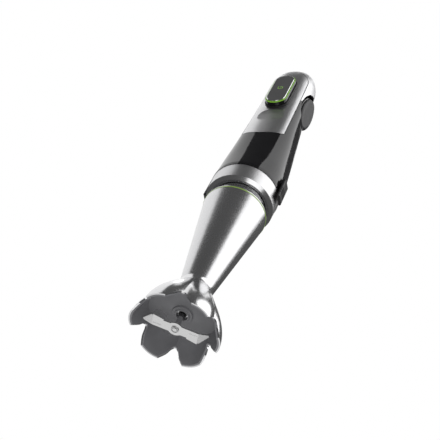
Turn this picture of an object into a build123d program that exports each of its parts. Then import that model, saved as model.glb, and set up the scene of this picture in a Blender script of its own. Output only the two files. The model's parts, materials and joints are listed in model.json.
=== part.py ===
from build123d import *
import math
import os

# Immersion blender, millimetres. +Z is up, the origin is the centre of the bell's rim,
# the thumb panel faces -Y and the finger trigger is on the +Y side.

# ---- driving dimensions -------------------------------------------------------------
TOTAL_H = 419.5            # from the rim to the top of the handle's crown
HANDLE_Z = 199.0           # where the housing starts, above the base ring
RUNNING_FIT = 0.06         # radial clearance of a sliding or turning fit
SEAM = 0.6                 # visible gap along the panel's edge

# bell
LOBES = 6                  # scallops round the bell
LOBE_PITCH = 360 / LOBES
FIRST_LOBE = 18            # degrees from +X to the middle of the first lobe
BELL_SECTIONS = [          # height, radius at a lobe, radius at a valley
    (0.0, 37.8, 33.0),
    (16.0, 34.0, 30.2),
    (32.0, 25.6, 23.7),
    (46.0, 16.6, 16.3),
]
BELL_TOP_Z = 46.0
SHELL_T = 1.2              # steel skin of the bell
LINER_T = 1.5              # plastic liner inside the skin
ROOF_Z = 20.6              # ceiling of the hollow
LINER_TOP_Z = 24.0
NOTCH_TOP_Z = 12.0

# blade
BLADE_Z = 2.6
BLADE_T = 1.2
BLADE_AZIMUTH = 22
HUB_R = 6.4
FIN_H = 5.6
DRIVE_SHAFT_R = 2.2

# outer tube
NECK_R = 14.6
NECK_Z = 54.0
GREEN_R = 29.9
GREEN_Z = 161.5
SHOULDER_R = 25.2
SHOULDER_Z = 169.5
TUBE_TOP_Z = 177.0
TUBE_T = 1.2
LIFT = 5.0                 # how far the tube and bell slide up towards the collar

# collar and coupling
BEVEL_IN_R = 25.8
BEVEL_EDGE_R = 29.0
BEVEL_Z = 174.4
COLLAR_LOW_R = 32.4
COLLAR_LOW_Z = 177.0
COLLAR_TOP_R = 33.0
COLLAR_TOP_Z = 194.8
BASE_R = 33.4
BASE_Z = 195.1
GUIDE_R = 4.8
GUIDE_BORE_R = 3.6
INSERT_Z = TUBE_TOP_Z + LIFT + 3.0    # underside of the insert's floor, clear of the lifted tube
PLUG_R = 26.0
PLUG_T = 2.8
PLUG_TOP_Z = 206.0

# handle: height, half width, front y, back y, squareness of the section
HANDLE_SECTIONS = [
    (199.0, 33.1, -33.1, 33.1, 2.0),
    (217.0, 32.4, -30.6, 32.2, 2.2),
    (240.0, 31.0, -28.2, 29.5, 2.4),
    (258.0, 29.8, -27.0, 26.6, 2.5),
    (276.0, 28.6, -26.2, 23.5, 2.6),
    (300.0, 27.0, -25.6, 19.5, 2.7),
    (320.0, 25.9, -25.5, 16.5, 2.7),
    (340.0, 25.1, -25.7, 14.4, 2.7),
    (362.0, 24.8, -26.1, 13.5, 2.6),
    (382.0, 24.9, -26.6, 13.8, 2.5),
    (397.0, 24.0, -26.4, 13.9, 2.4),
    (407.0, 21.4, -24.4, 12.6, 2.3),
    (414.5, 16.6, -20.2, 9.2, 2.2),
    (TOTAL_H, 8.4, -12.4, 3.0, 2.0),
]
CROWN_Z = 400.0            # above this the sections close in to the top
WALL_T = 4.0
PANEL_T = 2.2
GRIP_T = 2.0
SECTION_POINTS = 20

# front panel, seen from the front
PANEL_LOW_Z = 272.0
PANEL_SAG = 5.0             # how far the lower edge and the step dip in the middle
PANEL_LOW_W = 21.6
PANEL_HIGH_Z = 384.0
PANEL_HIGH_W = 20.2
PANEL_TOP_Z = 403.5
PANEL_CORNER_R = 4.0
STEP_Z = 299.0
SCOOP_R = 46.0
SCOOP_DEPTH = 1.5

# unlock button
BUTTON_LOW_Z = 320.0
BUTTON_HIGH_Z = 380.0
BUTTON_W = 11.6
BUTTON_FACE_Y = -33.4
BUTTON_TRAVEL = 1.6

# finger trigger: an oval barrel lying across the handle, tilted back a little
TRIGGER_Y = 1.5
TRIGGER_Z = 354.5
TRIGGER_TILT = 8
TRIGGER_SEMI_Y = 14.5
TRIGGER_SEMI_Z = 29.5
TRIGGER_HALF_W = 25.2
TRIGGER_CHEEK = 2.2
TRIGGER_WALL = 2.6
TRIGGER_GAP = 0.4
TRIGGER_TRAVEL = 3.5

# release buttons
RELEASE_W = 12.0
RELEASE_TRAVEL = 1.5
RELEASE_LOW_Z = 185.0
RELEASE_BRIDGE_Z = 208.0
RELEASE_TOP_Z = 214.0
RELEASE_IN_R = BASE_R + RELEASE_TRAVEL + 0.2
RELEASE_OUT_R = RELEASE_IN_R + 2.3

# motor
SHAFT_R = 2.5
MOTOR_R = 19.4
MOTOR_LOW_Z = 220.0
MOTOR_TOP_Z = 264.0
PLATE_Z = 215.2
PLATE_T = 3.8

os.makedirs("parts", exist_ok=True)
BOTTOM = (Align.CENTER, Align.CENTER, Align.MIN)
parts = {}


# ---- helpers ------------------------------------------------------------------------
def rod(radius, low, high, x=0, y=0):
    """A solid cylinder along Z."""
    return Pos(x, y, low) * Cylinder(radius, high - low, align=BOTTOM)


def ring(outer, inner, low, high):
    """A plain ring about the Z axis."""
    return rod(outer, low, high) - rod(inner, low - 1, high + 1)


def block(x, y, z):
    """A box from three (low, high) pairs."""
    size = [b - a for a, b in (x, y, z)]
    return Pos(x[0], y[0], z[0]) * Box(*size, align=(Align.MIN,) * 3)


def turned(points):
    """Turn a closed (radius, height) outline about the Z axis."""
    outline = Polyline(*[(r, 0, z) for r, z in points], close=True)
    return revolve(make_face(outline), Axis.Z)


def across(outline, half_width):
    """Stretch a (y, z) outline both ways along X."""
    face = make_face(Polyline(*[(0, y, z) for y, z in outline], close=True))
    return extrude(face, amount=half_width, both=True, dir=(1, 0, 0))


def polar(radius, degrees):
    """A point at this radius and azimuth."""
    angle = math.radians(degrees)
    return radius * math.cos(angle), radius * math.sin(angle)


def helix_spring(radius, wire_r, low, high, turns):
    """A compression spring about the Z axis."""
    path = Helix(pitch=(high - low) / turns, height=high - low, radius=radius)
    section = Plane(origin=path @ 0, z_dir=path % 0) * Circle(wire_r)
    return Pos(0, 0, low) * sweep(section, path=path, is_frenet=True)


# ---- bell ---------------------------------------------------------------------------
def scallop(height, lobe, valley):
    """One flower-shaped section: an arc over each lobe, a crease in each valley."""
    arcs = []
    for i in range(LOBES):
        middle = FIRST_LOBE + i * LOBE_PITCH
        start = polar(valley, middle - LOBE_PITCH / 2)
        top = polar(lobe, middle)
        end = polar(valley, middle + LOBE_PITCH / 2)
        arcs.append(ThreePointArc((*start, height), (*top, height), (*end, height)))
    return make_face(arcs)


def bell_form(inset, high=BELL_TOP_Z, overrun=0.0):
    """The bell's outer form, drawn in by an inset, up to a height."""
    sections = []
    if overrun:
        sections.append(scallop(-overrun, 38.2 - inset, 33.2 - inset))
    for height, lobe, valley in BELL_SECTIONS:
        if height < high:
            sections.append(scallop(height, lobe - inset, valley - inset))
    (z0, l0, v0), (z1, l1, v1) = [
        pair for pair in zip(BELL_SECTIONS, BELL_SECTIONS[1:]) if pair[0][0] < high <= pair[1][0]
    ][0]
    share = (high - z0) / (z1 - z0)
    sections.append(scallop(high, l0 + share * (l1 - l0) - inset, v0 + share * (v1 - v0) - inset))
    return loft(sections)


def notch(azimuth):
    """The gap between two petals of the rim, cut outwards along a radius."""
    foot, waist, crown = 11.0, 5.3, 3.2
    sides = Polyline((-crown, 10), (-waist, 6), (-foot, -0.6), (foot, -0.6), (waist, 6), (crown, 10))
    arch = ThreePointArc((crown, 10), (0, NOTCH_TOP_Z), (-crown, 10))
    outline = make_face([sides, arch])
    cutter = extrude(Plane.XZ.offset(18) * outline, amount=26)
    return Rot(0, 0, azimuth + 90) * cutter


def make_bell():
    skin_inside = bell_form(SHELL_T, BELL_TOP_Z, overrun=2)
    skin = bell_form(0) - skin_inside
    liner = skin_inside & rod(60, 0, LINER_TOP_Z)
    liner -= bell_form(SHELL_T + LINER_T, ROOF_Z, overrun=2)
    liner -= rod(6.2, ROOF_Z - 1, LINER_TOP_Z + 1)
    for i in range(LOBES):
        gap = notch(FIRST_LOBE + (i + 0.5) * LOBE_PITCH)
        skin -= gap
        liner -= gap
    parts["bell_shell"] = skin
    parts["bell_liner"] = liner
    boss = turned([
        (GUIDE_R + RUNNING_FIT, 18.4), (6.0, 18.4), (6.6, 19.2), (8.4, 19.2), (8.9, ROOF_Z),
        (6.2, ROOF_Z), (6.2, LINER_TOP_Z), (9.0, LINER_TOP_Z), (9.0, 44), (12.4, 47),
        (12.4, 50), (GUIDE_R + RUNNING_FIT, 50),
    ])
    seal = ring(6.0, GUIDE_R + RUNNING_FIT, 28, 30.5)
    parts["boss_seal"] = seal
    parts["bell_boss"] = boss - seal
    outer = Spline((16.6, 0, BELL_TOP_Z), (15.2, 0, 49.5), (NECK_R, 0, NECK_Z),
                   tangents=[(-0.6, 0, 1), (0, 0, 1)])
    inner = Polyline((NECK_R, 0, NECK_Z), (12.4, 0, NECK_Z), (12.4, 0, BELL_TOP_Z),
                     (16.6, 0, BELL_TOP_Z))
    parts["neck_ring"] = revolve(make_face([outer, inner]), Axis.Z)


# ---- blade assembly -----------------------------------------------------------------
def wing():
    """One wing along +X: a flat root, a tip bent up and an upright fin."""
    root = Polyline((0, 4.4), (9.8, 4.4), (19, 6.2), (19, -3.9), (0, -4.4), close=True)
    tip = Polyline((0, 6.2), (1.6, 6.4), (8.4, -2.6), (7.6, -4.0), (0, -3.9), close=True)
    plate = extrude(make_face(root), amount=BLADE_T)
    plate += Pos(19, 0, 0) * Rot(0, -16, 0) * extrude(make_face(tip), amount=BLADE_T)
    edge = Polyline((10.4, 4.5), (19.4, 6.3), (19.2, 7.4), (10.2, 5.6), close=True)
    plate += extrude(make_face(edge), amount=FIN_H + BLADE_T)
    step = Pos(15, -1.0, -0.1) * Box(7, 0.5, 0.6)
    return plate - step


def make_blade():
    blade = extrude(Circle(HUB_R), amount=BLADE_T)
    for turn in (0, 180):
        blade += Rot(0, 0, turn) * wing()
    blade = Pos(0, 0, BLADE_Z) * Rot(0, 0, BLADE_AZIMUTH) * blade
    bore = rod(DRIVE_SHAFT_R, -1, 20)
    parts["blade"] = blade - bore
    hub = turned([(0, BLADE_Z - 1.1), (1.6, BLADE_Z - 1.1), (3.2, BLADE_Z - 0.5), (3.2, BLADE_Z),
                  (0, BLADE_Z)])
    upper = ring(3.6, DRIVE_SHAFT_R, BLADE_Z + BLADE_T, BLADE_Z + 4.2)
    parts["blade_rivet"] = hub
    parts["blade_spacer"] = upper
    parts["drive_shaft"] = rod(DRIVE_SHAFT_R, BLADE_Z, 192)
    male = ring(6.0, DRIVE_SHAFT_R, 189, 195) + extrude(
        Pos(0, 0, 195) * RegularPolygon(3.7, 6), amount=9
    ) + rod(3, 192, 196)
    parts["driven_coupling"] = male - rod(DRIVE_SHAFT_R, 180, 192)


# ---- outer tube ---------------------------------------------------------------------
def make_tube():
    outer = Polyline((NECK_R, 0, NECK_Z), (GREEN_R, 0, GREEN_Z - 0.6), (GREEN_R - 0.5, 0, GREEN_Z - 0.6),
                     (GREEN_R - 0.5, 0, GREEN_Z + 0.6), (GREEN_R, 0, GREEN_Z + 0.6))
    shoulder = ThreePointArc((GREEN_R, 0, GREEN_Z + 0.6), (28.6, 0, 166.4), (SHOULDER_R, 0, SHOULDER_Z))
    inner = Polyline((SHOULDER_R, 0, SHOULDER_Z), (SHOULDER_R, 0, TUBE_TOP_Z),
                     (SHOULDER_R - TUBE_T, 0, TUBE_TOP_Z), (SHOULDER_R - TUBE_T, 0, SHOULDER_Z - 1.4),
                     (27.0, 0, 165.0), (GREEN_R - 2.0, 0, GREEN_Z), (NECK_R - TUBE_T, 0, NECK_Z),
                     (NECK_R, 0, NECK_Z))
    parts["outer_tube"] = revolve(make_face([outer, shoulder, inner]), Axis.Z)
    parts["green_ring"] = ring(GREEN_R + 0.15, GREEN_R - 0.5, GREEN_Z - 0.6, GREEN_Z + 0.6)
    bore = GUIDE_R + RUNNING_FIT
    flange_r = SHOULDER_R - TUBE_T
    parts["tube_carrier"] = turned([
        (bore, 150), (13, 150), (13, 170), (flange_r, 170), (flange_r, 176.5), (21.5, 176.5),
        (21.5, 173), (11, 173), (11, 154), (bore, 154),
    ])
    parts["active_spring"] = helix_spring(8.2, 0.8, 155.0, 184.0, 7)


# ---- shaft side of the coupling -----------------------------------------------------
def make_collar():
    wall = 2.2
    parts["bevel_ring"] = turned([
        (BEVEL_IN_R, BEVEL_Z + 1.4), (BEVEL_EDGE_R, BEVEL_Z), (COLLAR_LOW_R, COLLAR_LOW_Z),
        (COLLAR_LOW_R - wall, COLLAR_LOW_Z + 2), (BEVEL_IN_R, BEVEL_Z + 3.6),
    ])
    parts["collar_ring"] = turned([
        (COLLAR_LOW_R, COLLAR_LOW_Z), (COLLAR_TOP_R, COLLAR_TOP_Z),
        (COLLAR_TOP_R - wall, COLLAR_TOP_Z), (COLLAR_LOW_R - wall, COLLAR_LOW_Z + 2),
    ])
    hold_r = COLLAR_LOW_R - wall
    insert = ring(hold_r, GUIDE_R, INSERT_Z, INSERT_Z + 3)
    insert += ring(PLUG_R, PLUG_R - PLUG_T, INSERT_Z, PLUG_TOP_Z)
    insert += ring(hold_r, PLUG_R - PLUG_T, INSERT_Z, COLLAR_TOP_Z - 0.6)
    for side in (-1, 1):
        window = block((-2, 2), (-3.6, 3.6), (196.0, 201.4))
        insert -= Pos(side * (PLUG_R - PLUG_T / 2), 0, 0) * window
    parts["coupling_insert"] = insert
    parts["guide_tube"] = ring(GUIDE_R, GUIDE_BORE_R, 20.5, INSERT_Z + 3)
    bush_r = DRIVE_SHAFT_R + RUNNING_FIT
    parts["shaft_seal"] = ring(GUIDE_BORE_R, bush_r, 21.0, 23.0)
    parts["lower_bush"] = ring(GUIDE_BORE_R, bush_r, 23.6, 34.0)
    parts["upper_bush"] = ring(GUIDE_BORE_R, bush_r, 174.0, 187.0)


# ---- handle shells ------------------------------------------------------------------
def handle_section(height, half_w, front, back, power, inset):
    """A rounded section of the handle, drawn in by an inset."""
    half_w = half_w - inset
    half_d = (back - front) / 2 - inset
    centre = (back + front) / 2
    points = []
    for i in range(SECTION_POINTS):
        angle = 2 * math.pi * i / SECTION_POINTS
        c, s = math.cos(angle), math.sin(angle)
        x = half_w * math.copysign(abs(c) ** (2 / power), c)
        y = half_d * math.copysign(abs(s) ** (2 / power), s)
        points.append((x, centre + y, height))
    return make_face(Spline(*points, periodic=True))


def handle_form(inset):
    """The handle as one closed form, drawn in by an inset."""
    sections = []
    for height, half_w, front, back, power in HANDLE_SECTIONS:
        if height > CROWN_Z:
            height -= inset
        if inset and height < HANDLE_Z + 1:
            height -= 1
        sections.append(handle_section(height, half_w, front, back, power, inset))
    return loft(sections)


def panel_region(grow, low=PANEL_LOW_Z):
    """Everything in front of the panel's outline, which ends in an arc at the top."""
    outline = make_face([
        Line((-PANEL_HIGH_W, PANEL_HIGH_Z), (-PANEL_LOW_W, low)),
        ThreePointArc((-PANEL_LOW_W, low), (0, low - PANEL_SAG), (PANEL_LOW_W, low)),
        Line((PANEL_LOW_W, low), (PANEL_HIGH_W, PANEL_HIGH_Z)),
        ThreePointArc((PANEL_HIGH_W, PANEL_HIGH_Z), (0, PANEL_TOP_Z), (-PANEL_HIGH_W, PANEL_HIGH_Z)),
    ])
    corners = outline.vertices().sort_by(Axis.Y)[:2]
    outline = fillet(corners, PANEL_CORNER_R)
    if grow:
        outline = offset(outline, grow)
    return extrude(Plane.XZ.offset(8) * outline, amount=40)


def stadium(half_w, low, high, near, far):
    """An upright stadium, stretched from y = -near to y = -far."""
    outline = Pos(0, (low + high) / 2) * SlotOverall(high - low, 2 * half_w, rotation=90)
    return extrude(Plane.XZ.offset(near) * outline, amount=far - near)


def barrel(semi_y, semi_z, half_w, shift=0.0):
    """An oval barrel across the handle, in the trigger's tilted frame."""
    face = Plane.YZ * Pos(shift, 0) * Ellipse(semi_y, semi_z)
    return extrude(face, amount=half_w, both=True)


def in_trigger_frame(shape):
    return Pos(0, TRIGGER_Y, TRIGGER_Z) * Rot(-TRIGGER_TILT, 0, 0) * shape


def trigger_pocket(grow, depth, half_w):
    """The space that the trigger sweeps, grown all round."""
    semi_z = TRIGGER_SEMI_Z + grow
    space = barrel(TRIGGER_SEMI_Y + grow, semi_z, half_w)
    space += barrel(TRIGGER_SEMI_Y + grow, semi_z, half_w, -depth)
    space += block((-half_w, half_w), (-depth, 0), (-semi_z, semi_z))
    return space


def make_handle(inside):
    outside = handle_form(0)
    under_panel = handle_form(PANEL_T)
    under_grip = handle_form(GRIP_T)
    shell = outside - inside

    # the trigger's pocket, its rim and the hollow block that the trigger caps
    travel_space = TRIGGER_TRAVEL + TRIGGER_GAP
    pocket = in_trigger_frame(trigger_pocket(TRIGGER_GAP, travel_space, 40))
    rim = in_trigger_frame(trigger_pocket(TRIGGER_GAP + 1.8, travel_space, 40)) & under_grip
    core_y = TRIGGER_SEMI_Y - TRIGGER_WALL - TRIGGER_GAP
    core_z = TRIGGER_SEMI_Z - TRIGGER_WALL - TRIGGER_GAP
    core_w = TRIGGER_HALF_W - TRIGGER_CHEEK - TRIGGER_GAP
    core = barrel(core_y, core_z, core_w, -travel_space)
    core += block((-18, 18), (-21.0, -8), (-16, 16))
    hollow = barrel(core_y - 2, core_z - 2, core_w - 2, -travel_space)
    hollow += block((-16, 16), (-24, -8), (-14, 14))
    panel_hole = panel_region(SEAM) - under_panel
    rim -= panel_hole
    core = in_trigger_frame(core - hollow) - (shell - rim) - panel_hole

    # the crown's lower edge climbs from the panel to the back of the handle
    crown_line = [(-60, 320), (-21, 342), (-15.5, 356), (-9.5, 372), (-2, 386.5), (5, 391.5),
                  (40, 393), (40, 460), (-60, 460)]
    crown_region = across(crown_line, 50)
    # the grip starts behind a line that leans forward towards the trigger
    grip_line = [(17, 190), (11.5, 262), (2, 300), (-8, 324), (-12.5, 333), (-12.5, 440),
                 (60, 440), (60, 190)]
    grip_region = across(grip_line, 50)
    bezel_floor = 318.0
    high = block((-60, 60), (-60, 60), (bezel_floor, 460))

    island_hole = stadium(BUTTON_W - 1.5, BUTTON_LOW_Z + 1.5, BUTTON_HIGH_Z - 1.5, 10, 60)

    grip_skin = (outside - under_grip) & grip_region - crown_region - pocket
    crown = (shell & crown_region) - panel_hole - pocket - rim - island_hole
    bore = rod(3.5, 380, 460, 0, -4.5)
    sleeve = (rod(6.2, 404, TOTAL_H - 0.4, 0, -4.5) & outside) - bore
    parts["cord_gland"] = sleeve
    crown -= rod(6.2, 380, 460, 0, -4.5)

    body = shell - crown_region - panel_hole - pocket - rim - island_hole
    body -= (outside - under_grip) & grip_region
    for side in (-1, 1):
        slot = block((18, 60), (-RELEASE_W / 2 - 0.3, RELEASE_W / 2 + 0.3),
                     (HANDLE_Z - 1, RELEASE_TOP_Z + 0.4))
        body -= slot if side > 0 else mirror(slot, Plane.YZ)

    # the cuts leave a strip of wall over the trigger, which belongs to the trigger's frame
    lintel, main_wall = body.solids().sort_by(SortBy.VOLUME)[-2:]
    parts["crown_shell"] = crown
    parts["body_shell"] = main_wall
    parts["rear_grip"] = grip_skin - high
    bezel = (grip_skin & high) + (rim - pocket) - crown_region
    crown_side_rim = (rim - pocket) & crown_region
    frame_piece = (bezel + crown_side_rim + core).solids().sort_by(SortBy.VOLUME)[-1]
    parts["trigger_bezel"] = frame_piece + lintel

    # front panels
    plate = (outside - under_panel) & panel_region(0)
    plate -= stadium(BUTTON_W + 0.05, BUTTON_LOW_Z - 0.05, BUTTON_HIGH_Z + 0.05, 10, 60)
    scoop_y = -25.6 + SCOOP_DEPTH - SCOOP_R
    scoop = Pos(0, scoop_y, STEP_Z + 6) * Rot(0, 90, 0) * Cylinder(SCOOP_R, 80)
    step = ThreePointArc((-PANEL_LOW_W, STEP_Z), (0, STEP_Z - PANEL_SAG), (PANEL_LOW_W, STEP_Z))
    rest = Polyline((PANEL_LOW_W, STEP_Z), (60, STEP_Z), (60, 460), (-60, 460), (-60, STEP_Z),
                    (-PANEL_LOW_W, STEP_Z))
    above = extrude(Plane.XZ * make_face([step, rest]), amount=60)
    parts["front_panel"] = (plate & above) - (scoop & above)
    parts["lower_panel"] = plate - above

    # unlock button island
    island_y = 31.2
    pedestal = stadium(BUTTON_W, BUTTON_LOW_Z, BUTTON_HIGH_Z, 23.4, island_y)
    pedestal -= stadium(BUTTON_W - 2.2, BUTTON_LOW_Z + 2.2, BUTTON_HIGH_Z - 2.2, 20, 40)
    pedestal -= stadium(BUTTON_W - 0.9, BUTTON_LOW_Z + 0.9, BUTTON_HIGH_Z - 0.9, 29.8, 40)
    gasket = stadium(BUTTON_W + 0.9, BUTTON_LOW_Z - 0.9, BUTTON_HIGH_Z + 0.9, 23.4, 27.4)
    gasket = gasket - stadium(BUTTON_W, BUTTON_LOW_Z, BUTTON_HIGH_Z, 20, 40)
    parts["button_gasket"] = gasket - under_panel - parts["front_panel"]
    parts["button_pedestal"] = pedestal - under_panel
    light = stadium(BUTTON_W - 0.2, BUTTON_LOW_Z + 0.2, BUTTON_HIGH_Z - 0.2, island_y, island_y + 0.8)
    parts["light_ring"] = light - stadium(BUTTON_W - 0.9, BUTTON_LOW_Z + 0.9, BUTTON_HIGH_Z - 0.9, 20, 40)


def make_unlock_button():
    low, high = BUTTON_LOW_Z, BUTTON_HIGH_Z
    skirt = stadium(BUTTON_W - 2.6, low + 2.6, high - 2.6, 27.0, 31.9)
    face = stadium(BUTTON_W - 1.2, low + 1.2, high - 1.2, 31.9, -BUTTON_FACE_Y)
    edge = face.faces().sort_by(Axis.Y)[0].edges()
    face = fillet(edge, 0.9)
    middle = (low + high) / 2
    key_tip = 22.8
    plunger_tip = key_tip + BUTTON_TRAVEL + 0.2
    plunger = Pos(0, 0, middle) * Rot(90, 0, 0) * Cylinder(3.0, 2.4, align=BOTTOM)
    parts["button_cap"] = face
    parts["button_plunger"] = skirt + Pos(0, -plunger_tip, 0) * plunger
    switch = block((-5, 5), (-21.9, -19.8), (middle - 5, middle + 5))
    key = Pos(0, 0.9 - key_tip, middle) * Rot(90, 0, 0) * Cylinder(1.8, 0.9, align=BOTTOM)
    parts["unlock_switch"] = switch + key
    parts["button_spring"] = Pos(0, -key_tip, middle) * Rot(90, 0, 0) * ring(4.8, 3.6, -0.6, 1.6)


def make_trigger():
    pad = barrel(TRIGGER_SEMI_Y, TRIGGER_SEMI_Z, TRIGGER_HALF_W)
    rims = pad.faces().sort_by(Axis.X)
    pad = fillet(rims[0].edges() + rims[-1].edges(), 3.6)
    inner_y = TRIGGER_SEMI_Y - TRIGGER_WALL
    inner_z = TRIGGER_SEMI_Z - TRIGGER_WALL
    inner_w = TRIGGER_HALF_W - TRIGGER_CHEEK
    pad -= barrel(inner_y, inner_z, inner_w)
    pad -= block((-inner_w, inner_w), (-40, 0), (-40, 40))
    parts["speed_trigger"] = in_trigger_frame(pad)
    back = inner_y - TRIGGER_TRAVEL - TRIGGER_GAP * 2
    switch = block((-6, 6), (-6, back - 3.2), (-10, 10))
    parts["speed_switch"] = in_trigger_frame(switch)
    coil = Rot(-90, 0, 0) * ring(3.4, 2.4, 0, 0.6)
    coils = [in_trigger_frame(Pos(side * 12, back + 0.05, 0) * coil) for side in (-1, 1)]
    parts["trigger_springs"] = Compound(children=coils)


# ---- release buttons ----------------------------------------------------------------
def make_release_buttons():
    half = RELEASE_W / 2
    tab = block((RELEASE_IN_R, RELEASE_OUT_R), (-half, half), (RELEASE_LOW_Z, RELEASE_TOP_Z))
    tab = fillet(tab.edges().filter_by(Axis.Z).sort_by(Axis.X)[-2:], 1.8)
    tab = chamfer(tab.faces().sort_by(Axis.X)[-1].edges().filter_by(Axis.Y), 1.2)
    for i in range(3):
        rib_z = RELEASE_LOW_Z + 8 + 3.4 * i
        tab -= Pos(RELEASE_OUT_R, 0, rib_z) * Rot(90, 0, 0) * Cylinder(0.7, 20)
    bridge = block((20, RELEASE_IN_R), (-half + 1, half - 1), (RELEASE_BRIDGE_Z, RELEASE_TOP_Z - 0.6))
    leg = block((19.6, 22.2), (-3.2, 3.2), (194.5, RELEASE_BRIDGE_Z + 1))
    nose = block((21.8, 22.8), (-3.2, 3.2), (196.6, 199.6))
    button = tab + bridge + leg + nose
    parts["release_button_right"] = button
    parts["release_button_left"] = mirror(button, Plane.YZ)
    springs = []
    for side in (-1, 1):
        spring = Rot(0, 90, 0) * ring(1.8, 1.1, 0, 1.6)
        springs.append(Pos(side * 16.6 - 0.8, 0, 210.7) * spring)
    parts["release_springs"] = Compound(children=springs)


# ---- base, motor and electrics ------------------------------------------------------
def make_base(inside):
    parts["base_ring"] = ring(BASE_R, 29.6, BASE_Z, HANDLE_Z)
    socket = ring(29.0, PLUG_R + 0.4, BASE_Z + 0.4, PLATE_Z - 1.2)
    half = RELEASE_W / 2 + 0.3
    socket -= block((-40, 40), (-half, half), (190, PLATE_Z + 1))
    socket += ring(29.0, PLUG_R - 1.5, PLATE_Z - 1.2, PLATE_Z)
    above = block((-60, 60), (-60, 60), (HANDLE_Z, 300))
    parts["socket_ring"] = (socket - above) + (socket & inside)
    plate = (inside & rod(60, PLATE_Z, PLATE_Z + PLATE_T)) - rod(8.0, PLATE_Z - 1, PLATE_Z + 9)
    screws = []
    for i in range(4):
        x, y = polar(23, 45 + 90 * i)
        plate -= rod(1.5, PLATE_Z - 1, PLATE_Z + 10, x, y)
        head_z = PLATE_Z + PLATE_T
        screws.append(rod(1.5, PLATE_Z, head_z, x, y) + rod(2.8, head_z, head_z + 1.8, x, y))
    parts["motor_plate"] = plate
    parts["chassis_screws"] = Compound(children=screws)
    parts["lower_bearing"] = ring(8.0, SHAFT_R + RUNNING_FIT, PLATE_Z, PLATE_Z + PLATE_T)


def make_motor():
    can_wall = 1.4
    can = ring(MOTOR_R, MOTOR_R - can_wall, MOTOR_LOW_Z, MOTOR_TOP_Z)
    parts["motor_can"] = can + ring(MOTOR_R, 10.5, MOTOR_LOW_Z - 1.0, MOTOR_LOW_Z)
    core_r = 14.8
    core_low, core_high = 230.0, 250.0
    magnets = ring(MOTOR_R - can_wall - 0.1, core_r + 0.6, core_low - 2, core_high + 2)
    parts["motor_magnets"] = magnets - block((-40, 40), (-4, 4), (220, 280))
    core = rod(core_r, core_low, core_high)
    for i in range(12):
        x, y = polar(core_r - 0.8, 30 * i)
        core -= rod(1.4, core_low - 1, core_high + 1, x, y)
    parts["rotor_core"] = core - rod(SHAFT_R, 220, 280)
    coil_r = core_r - 2.6
    lower_coils = ring(coil_r, SHAFT_R + 1.5, core_low - 3.4, core_low)
    upper_coils = ring(coil_r, SHAFT_R + 1.5, core_high, core_high + 3.4)
    parts["rotor_windings"] = lower_coils + upper_coils
    parts["commutator"] = ring(6.0, SHAFT_R, MOTOR_TOP_Z - 9.6, MOTOR_TOP_Z - 2.0)
    parts["motor_shaft"] = rod(SHAFT_R, 207.5, MOTOR_TOP_Z + 7.5)
    fan = ring(5.0, SHAFT_R, 221.4, 225.8)
    for i in range(9):
        blade = Pos(9.6, 0, 223.6) * Rot(28, 0, 0) * Box(10.0, 1.2, 4.0)
        fan += Rot(0, 0, 40 * i) * blade
    parts["cooling_fan"] = fan
    cup = rod(7.6, 195.8, 207.5) + rod(5.4, 207.5, 212.0)
    cup -= extrude(Pos(0, 0, 190) * RegularPolygon(4.05, 6), amount=15.4)
    parts["drive_coupling"] = cup - rod(SHAFT_R, 207.5, 220)
    cap = ring(MOTOR_R, 7.0, MOTOR_TOP_Z, MOTOR_TOP_Z + 5)
    brush_z = MOTOR_TOP_Z - 8.4
    brush = block((6.2, 11.0), (-4.4, 4.4), (brush_z, brush_z + 5))
    holder = block((8.0, 15.6), (-6.2, 6.2), (brush_z - 1.2, MOTOR_TOP_Z)) - brush
    cap += holder + mirror(holder, Plane.YZ)
    parts["brush_cap"] = cap
    parts["carbon_brushes"] = Compound(children=[brush, mirror(brush, Plane.YZ)])
    parts["upper_bearing"] = ring(7.0, SHAFT_R + RUNNING_FIT, MOTOR_TOP_Z, MOTOR_TOP_Z + 5)
    parts["motor_damper"] = ring(MOTOR_R + 0.9, MOTOR_R, MOTOR_TOP_Z - 6, MOTOR_TOP_Z + 2)
    board_z = MOTOR_TOP_Z + 12
    board = block((-16, 16), (-4.8, -3.2), (board_z, board_z + 26))
    chips = block((-11, -3), (-3.2, 0.4), (board_z + 5, board_z + 13))
    chips += block((3, 10), (-3.2, 2.6), (board_z + 3, board_z + 17))
    parts["circuit_board"] = board + chips
    leads = [rod(0.9, MOTOR_TOP_Z + 5, board_z, side * 12.6, -4.0) for side in (-1, 1)]
    parts["motor_leads"] = Compound(children=leads)


make_bell()
make_blade()
make_tube()
make_collar()
inner_form = handle_form(WALL_T)
make_handle(inner_form)
make_unlock_button()
make_trigger()
make_release_buttons()
make_base(inner_form)
make_motor()
for node, shape in parts.items():
    export_step(shape, f"parts/{node}.step")
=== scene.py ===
import json
import math

import bmesh
import bpy
from mathutils import Matrix, Vector


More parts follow.
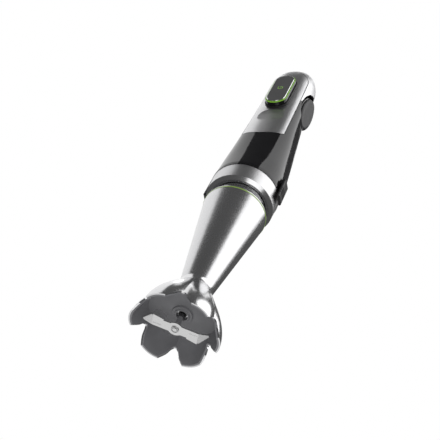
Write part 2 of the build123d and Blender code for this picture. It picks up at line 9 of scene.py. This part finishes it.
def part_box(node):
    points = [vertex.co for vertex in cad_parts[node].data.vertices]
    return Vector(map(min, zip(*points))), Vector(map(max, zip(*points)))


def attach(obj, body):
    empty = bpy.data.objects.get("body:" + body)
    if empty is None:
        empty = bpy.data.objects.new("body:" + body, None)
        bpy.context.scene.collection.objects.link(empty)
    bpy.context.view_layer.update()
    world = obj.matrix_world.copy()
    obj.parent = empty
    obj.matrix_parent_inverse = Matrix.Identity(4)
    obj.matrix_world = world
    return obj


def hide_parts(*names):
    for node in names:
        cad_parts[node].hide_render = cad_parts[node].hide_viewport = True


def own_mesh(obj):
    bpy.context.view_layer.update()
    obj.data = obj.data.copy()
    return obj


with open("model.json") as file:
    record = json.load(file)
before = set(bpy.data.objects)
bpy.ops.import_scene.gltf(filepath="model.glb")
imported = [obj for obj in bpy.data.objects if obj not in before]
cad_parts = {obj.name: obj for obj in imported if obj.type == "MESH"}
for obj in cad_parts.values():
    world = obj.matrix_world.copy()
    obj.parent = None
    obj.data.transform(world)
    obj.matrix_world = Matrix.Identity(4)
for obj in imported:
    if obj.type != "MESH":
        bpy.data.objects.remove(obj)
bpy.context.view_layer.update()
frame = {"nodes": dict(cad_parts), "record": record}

# Looks of the immersion blender. Metres, in the frame of the CAD model: +Z up, origin at the
# centre of the bell's rim, thumb panel on -Y, finger trigger on +Y.

# ---- camera: in front, to the right and below the rim, looking up the shaft ----------
CAMERA_AT = Vector((0.26694, -0.43558, -0.46889))
CAMERA_AIM = Vector((-0.0104, 0.0, 0.15143))
CAMERA_ROLL = math.radians(27.936)
CAMERA_LENS = 72.906
SENSOR_WIDTH = 36.0

# ---- studio ---------------------------------------------------------------------------
BACKDROP = 1.0             # what the camera sees behind the object
AMBIENT = 0.55             # what lights matte surfaces from all round
DARK_ROOM = 0.09           # what polished surfaces mirror between the softboxes
FLOOR_RADIUS = 3.0
FLOOR_Z = -0.0002          # just under the rim
FLOOR_TONE = (0.86, 0.86, 0.86, 1.0)
SOFTBOX_DISTANCE = 1.3
CENTRE = Vector((0.0, 0.0, 0.2))
SOFTBOXES = {              # azimuth, elevation, width, height, radiance
    "key_right": (-3, 42, 1.55, 1.5, 1.5),
    "fill_left": (170, 42, 2.2, 1.5, 0.9),
    "overhead": (122, 76, 0.7, 0.7, 0.9),
    "under": (122, -50, 1.2, 1.2, 0.7),
    "bell_front": (-40, -62, 0.9, 0.9, 1.3),
}


class Look:
    """A procedural material: a Principled shader and short calls for what feeds it."""

    def __init__(self, name, **values):
        self.material = bpy.data.materials.new(name)
        self.material.use_nodes = True
        self.tree = self.material.node_tree
        self.shader = self.tree.nodes["Principled BSDF"]
        for key, value in values.items():
            socket = self.shader.inputs[key.replace("_", " ")]
            socket.default_value = (*value, 1.0) if isinstance(value, tuple) else value

    def node(self, kind, **settings):
        made = self.tree.nodes.new(kind)
        for key, value in settings.items():
            setattr(made, key, value)
        return made

    def link(self, source, target):
        self.tree.links.new(source, target)

    def noise(self, scale, detail=4.0):
        """Noise in the object's own coordinates, stretched by a scale per axis."""
        place = self.node("ShaderNodeTexCoord")
        stretch = self.node("ShaderNodeMapping")
        stretch.inputs["Scale"].default_value = scale if isinstance(scale, tuple) else (scale,) * 3
        noise = self.node("ShaderNodeTexNoise")
        noise.inputs["Scale"].default_value = 1.0
        noise.inputs["Detail"].default_value = detail
        self.link(place.outputs["Object"], stretch.inputs["Vector"])
        self.link(stretch.outputs["Vector"], noise.inputs["Vector"])
        return noise.outputs["Fac"]

    def spread(self, source, low, high, start=0.3, stop=0.7):
        """A factor stretched to run from low to high."""
        span = self.node("ShaderNodeMapRange")
        for name, value in (("From Min", start), ("From Max", stop), ("To Min", low), ("To Max", high)):
            span.inputs[name].default_value = value
        self.link(source, span.inputs["Value"])
        return span.outputs["Result"]

    def add(self, a, b):
        total = self.node("ShaderNodeMath", operation="ADD")
        self.link(a, total.inputs[0])
        self.link(b, total.inputs[1])
        return total.outputs["Value"]

    def colours(self, source, first, second):
        """Two colours mixed by a factor, into the base colour."""
        mix = self.node("ShaderNodeMix", data_type="RGBA")
        self.link(source, mix.inputs["Factor"])
        mix.inputs[6].default_value = (*first, 1.0)
        mix.inputs[7].default_value = (*second, 1.0)
        self.link(mix.outputs[2], self.shader.inputs["Base Color"])

    def roughness(self, source):
        self.link(source, self.shader.inputs["Roughness"])

    def bump(self, source, depth):
        """Relief of this depth in metres."""
        bump = self.node("ShaderNodeBump")
        bump.inputs["Distance"].default_value = depth
        self.link(source, bump.inputs["Height"])
        self.link(bump.outputs["Normal"], self.shader.inputs["Normal"])


# ---- materials ------------------------------------------------------------------------
def shade(colour, factor):
    return tuple(c * factor for c in colour)


def brushed(name, colour, grain, low, high, anisotropy=0.0, depth=1.5e-6):
    """Metal with a directional grain, uneven sheen and faint smudges."""
    look = Look(name, Metallic=1.0, Anisotropic=anisotropy)
    lines = look.noise(grain, 6.0)
    smudges = look.noise(38.0, 3.0)
    look.colours(look.spread(lines, 0.0, 1.0), shade(colour, 0.96), colour)
    look.roughness(look.add(look.spread(lines, low, high), look.spread(smudges, 0.0, 0.04)))
    look.bump(lines, depth)
    if anisotropy:
        around = look.node("ShaderNodeTangent", direction_type="RADIAL", axis="Z")
        look.link(around.outputs["Tangent"], look.shader.inputs["Tangent"])
    return look.material


def polished(name, colour, low=0.03, high=0.08):
    """Mirror metal with fine wipe marks and a barely uneven surface."""
    look = Look(name, Metallic=1.0)
    wipes = look.noise((900.0, 900.0, 160.0), 5.0)
    smudges = look.noise(55.0, 3.0)
    look.colours(look.spread(smudges, 0.0, 1.0), shade(colour, 0.94), colour)
    look.roughness(look.add(look.spread(wipes, low, high), look.spread(smudges, 0.0, 0.03)))
    look.bump(wipes, 1.5e-6)
    return look.material


def gloss(name, colour, low=0.04, high=0.09, coat=1.0):
    """High gloss moulded plastic with faint handling marks."""
    look = Look(name, Coat_Weight=coat, Coat_Roughness=0.03, IOR=1.5, Specular_IOR_Level=0.3)
    marks = look.noise(70.0, 4.0)
    fine = look.noise(2600.0, 2.0)
    look.colours(look.spread(marks, 0.0, 1.0), colour, shade(colour, 1.35))
    look.roughness(look.add(look.spread(marks, low, high), look.spread(fine, 0.0, 0.02)))
    look.bump(look.noise(160.0, 2.0), 3e-6)
    return look.material


def moulded(name, colour, low=0.42, high=0.56, texture=2800.0, depth=1.6e-5):
    """Matte moulded plastic or rubber with a spark-eroded grain."""
    look = Look(name, IOR=1.48)
    grain = look.noise(texture, 3.0)
    tone = look.noise(45.0, 4.0)
    look.colours(look.spread(tone, 0.0, 1.0), shade(colour, 0.88), shade(colour, 1.10))
    look.roughness(look.add(look.spread(grain, low, high), look.spread(tone, 0.0, 0.05)))
    look.bump(grain, depth)
    return look.material


def lit_ring(name, colour):
    """Tinted translucent plastic that glows a little."""
    look = Look(name, Transmission_Weight=0.25, IOR=1.49, Emission_Color=colour, Emission_Strength=0.15)
    cloud = look.noise(220.0, 3.0)
    look.colours(look.spread(cloud, 0.0, 1.0), shade(colour, 0.85), colour)
    look.roughness(look.spread(cloud, 0.18, 0.3))
    return look.material


def wound(name, colour, pitch=2600.0):
    """Enamelled wire, in turns stacked along the axis, with painted shade in the grooves between turns.
    """
    look = Look(name, Metallic=0.85)
    turns = look.noise((60.0, 60.0, pitch), 2.0)
    # Painted shade: the colour darkens to 0.55 of the copper where the relief between turns is low.
    look.colours(look.spread(turns, 0.0, 1.0), shade(colour, 0.55), colour)
    look.roughness(look.spread(turns, 0.25, 0.42))
    look.bump(turns, 6e-5)
    return look.material


STEEL = (0.78, 0.78, 0.79)
AROUND = (26.0, 26.0, 5200.0)     # grain that runs round the axis
ALONG = (3600.0, 3600.0, 30.0)    # grain that runs along the axis
LOOKS = {
    "polished_steel": polished("polished_steel", STEEL, 0.16, 0.20),
    "brushed_steel": brushed("brushed_steel", (0.72, 0.72, 0.73), ALONG, 0.19, 0.27),
    "satin_silver": brushed("satin_silver", (0.80, 0.80, 0.81), ALONG, 0.30, 0.40),
    "satin_ring": brushed("satin_ring", (0.74, 0.74, 0.75), AROUND, 0.30, 0.40),
    "chrome_button": polished("chrome_button", (0.80, 0.80, 0.81), 0.04, 0.10),
    "gloss_black": gloss("gloss_black", (0.006, 0.006, 0.007), coat=0.1),
    "soft_black": moulded("soft_black", (0.016, 0.016, 0.018), 0.38, 0.50),
    "matte_black": moulded("matte_black", (0.014, 0.014, 0.015), 0.45, 0.58),
    "trigger_grey": moulded("trigger_grey", (0.020, 0.020, 0.022), 0.30, 0.42),
    "liner_grey": moulded("liner_grey", (0.20, 0.20, 0.21), 0.40, 0.52),
    "green_light": lit_ring("green_light", (0.30, 0.62, 0.06)),
    "green_trim": gloss("green_trim", (0.22, 0.34, 0.07), 0.18, 0.28, coat=0.3),
    "white_plastic": moulded("white_plastic", (0.70, 0.70, 0.67), 0.36, 0.48),
    "motor_steel": brushed("motor_steel", (0.42, 0.42, 0.43), AROUND, 0.28, 0.40),
    "laminations": brushed("laminations", (0.20, 0.20, 0.21), (8.0, 8.0, 2000.0), 0.40, 0.55, depth=4e-5),
    "ferrite": moulded("ferrite", (0.045, 0.045, 0.05), 0.55, 0.70),
    "copper": wound("copper", (0.72, 0.34, 0.16)),
    "bronze": moulded("bronze", (0.45, 0.28, 0.12), 0.40, 0.55),
    "spring_steel": polished("spring_steel", (0.62, 0.62, 0.63), 0.12, 0.20),
    "circuit": gloss("circuit", (0.015, 0.13, 0.05), 0.22, 0.32, coat=0.4),
    "seal_rubber": moulded("seal_rubber", (0.012, 0.012, 0.012), 0.50, 0.64),
    "blade_steel": brushed("blade_steel", (0.80, 0.80, 0.80), (300.0, 2600.0, 300.0), 0.24, 0.34),
}


def dress_nodes():
    """Give every CAD node the look of its material slot."""
    for part in frame["record"]["subparts"]:
        mesh = frame["nodes"][part["node"]].data
        mesh.materials.clear()
        mesh.materials.append(LOOKS[part["material_slot"]])


# ---- added detail ---------------------------------------------------------------------
def ribbon(name, points, width, height, lift, look, closed=False):
    """A thin raised strip that follows points in the XZ plane, facing -Y."""
    mesh = bpy.data.meshes.new(name)
    shape = bmesh.new()
    rows = []
    count = len(points)
    for i, (x, z) in enumerate(points):
        before = points[i - 1] if i or closed else points[i]
        after = points[(i + 1) % count] if i < count - 1 or closed else points[i]
        along = Vector((after[0] - before[0], after[1] - before[1])).normalized()
        side = Vector((-along.y, along.x)) * width / 2
        row = []
        for sign, depth in ((-1, 0.0), (-1, height), (1, height), (1, 0.0)):
            place = (x + sign * side.x, lift - depth, z + sign * side.y)
            row.append(shape.verts.new(place))
        rows.append(row)
    pairs = list(zip(rows, rows[1:]))
    if closed:
        pairs.append((rows[-1], rows[0]))
    for a, b in pairs:
        for k in range(4):
            shape.faces.new((a[k], a[(k + 1) % 4], b[(k + 1) % 4], b[k]))
    if not closed:
        shape.faces.new(rows[0][::-1])
        shape.faces.new(rows[-1])
    bmesh.ops.recalc_face_normals(shape, faces=shape.faces)
    shape.to_mesh(mesh)
    shape.free()
    piece = bpy.data.objects.new(name, mesh)
    bpy.context.scene.collection.objects.link(piece)
    mesh.materials.append(look)
    return piece


SYMBOL_RADIUS = 0.0026
SYMBOL_GAP = math.radians(38)      # half the opening at the top of the ring
SYMBOL_STEPS = 28
SYMBOL_WIDTH = 0.00055
SYMBOL_HEIGHT = 0.00012
SYMBOL_INSET = 0.00002             # how far it sinks into the button


def add_power_symbol():
    """A plain power symbol on the unlock button: a broken ring and a short bar."""
    low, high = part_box("button_cap")
    face_y = low.y + SYMBOL_INSET
    centre_z = (low.z + high.z) / 2
    radius, gap = SYMBOL_RADIUS, SYMBOL_GAP
    arc = []
    for i in range(SYMBOL_STEPS + 1):
        angle = math.pi / 2 + gap + (2 * math.pi - 2 * gap) * i / SYMBOL_STEPS
        arc.append((radius * math.cos(angle), centre_z + radius * math.sin(angle)))
    bar = [(0.0, centre_z + 0.0006), (0.0, centre_z + radius * 1.15)]
    for name, points in (("power_symbol_ring", arc), ("power_symbol_bar", bar)):
        piece = ribbon(name, points, SYMBOL_WIDTH, SYMBOL_HEIGHT, face_y, LOOKS["green_light"])
        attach(piece, "unlock_button")


def add_shortening_spring():
    """The spring of the tube: a copy of its CAD node that moves with the blending shaft, in place of the
    hidden node.
    """
    coil = frame["nodes"]["active_spring"]
    piece = bpy.data.objects.new("tube_spring_coil", coil.data.copy())
    piece.matrix_world = coil.matrix_world
    bpy.context.scene.collection.objects.link(piece)
    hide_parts("active_spring")
    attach(piece, "blending_shaft")
    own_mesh(piece)


# ---- studio ---------------------------------------------------------------------------
def direction(azimuth, elevation):
    a, e = math.radians(azimuth), math.radians(elevation)
    return Vector((math.cos(a) * math.cos(e), math.sin(a) * math.cos(e), math.sin(e)))


def make_camera():
    data = bpy.data.cameras.new("camera")
    data.lens = CAMERA_LENS
    data.sensor_width = SENSOR_WIDTH
    camera = bpy.data.objects.new("camera", data)
    bpy.context.scene.collection.objects.link(camera)
    aim = (CAMERA_AIM - CAMERA_AT).to_track_quat("-Z", "Y").to_matrix().to_4x4()
    camera.matrix_world = Matrix.Translation(CAMERA_AT) @ aim @ Matrix.Rotation(CAMERA_ROLL, 4, "Z")
    bpy.context.scene.camera = camera


def make_softboxes():
    for name, (azimuth, elevation, width, height, radiance) in SOFTBOXES.items():
        data = bpy.data.lights.new(name, "AREA")
        data.shape = "RECTANGLE"
        data.size, data.size_y = width, height
        data.energy = radiance * math.pi * width * height
        light = bpy.data.objects.new(name, data)
        light.location = CENTRE + SOFTBOX_DISTANCE * direction(azimuth, elevation)
        light.rotation_mode = "QUATERNION"
        light.rotation_quaternion = (CENTRE - light.location).to_track_quat("-Z", "Y")
        light.visible_camera = False
        bpy.context.scene.collection.objects.link(light)


def make_world():
    """White to the camera, dark to mirrors and pale to everything else."""
    world = bpy.data.worlds.new("studio")
    world.use_nodes = True
    tree = world.node_tree
    background = tree.nodes["Background"]
    path = tree.nodes.new("ShaderNodeLightPath")
    mirrored = tree.nodes.new("ShaderNodeMix")
    mirrored.inputs["A"].default_value = AMBIENT
    mirrored.inputs["B"].default_value = DARK_ROOM
    seen = tree.nodes.new("ShaderNodeMix")
    seen.inputs["B"].default_value = BACKDROP
    tree.links.new(path.outputs["Is Glossy Ray"], mirrored.inputs["Factor"])
    tree.links.new(path.outputs["Is Camera Ray"], seen.inputs["Factor"])
    tree.links.new(mirrored.outputs["Result"], seen.inputs["A"])
    tree.links.new(seen.outputs["Result"], background.inputs["Strength"])
    background.inputs["Color"].default_value = (1.0, 1.0, 1.0, 1.0)
    bpy.context.scene.world = world


def make_floor():
    """A pale round floor under the rim, seen only from above."""
    mesh = bpy.data.meshes.new("floor")
    shape = bmesh.new()
    bmesh.ops.create_circle(shape, cap_ends=True, segments=96, radius=FLOOR_RADIUS)
    shape.to_mesh(mesh)
    shape.free()
    floor = bpy.data.objects.new("floor", mesh)
    floor.location.z = FLOOR_Z
    bpy.context.scene.collection.objects.link(floor)
    material = bpy.data.materials.new("floor")
    material.use_nodes = True
    tree = material.node_tree
    paint = tree.nodes["Principled BSDF"]
    paint.inputs["Base Color"].default_value = FLOOR_TONE
    paint.inputs["Roughness"].default_value = 0.7
    clear = tree.nodes.new("ShaderNodeBsdfTransparent")
    side = tree.nodes.new("ShaderNodeNewGeometry")
    choice = tree.nodes.new("ShaderNodeMixShader")
    tree.links.new(side.outputs["Backfacing"], choice.inputs[0])
    tree.links.new(paint.outputs["BSDF"], choice.inputs[1])
    tree.links.new(clear.outputs["BSDF"], choice.inputs[2])
    tree.links.new(choice.outputs["Shader"], tree.nodes["Material Output"].inputs["Surface"])
    mesh.materials.append(material)
    floor.visible_shadow = False
    floor.visible_glossy = False
    floor.visible_diffuse = False


dress_nodes()
add_power_symbol()
add_shortening_spring()
make_camera()
make_softboxes()
make_world()
make_floor()
bpy.context.scene.view_settings.view_transform = "Standard"
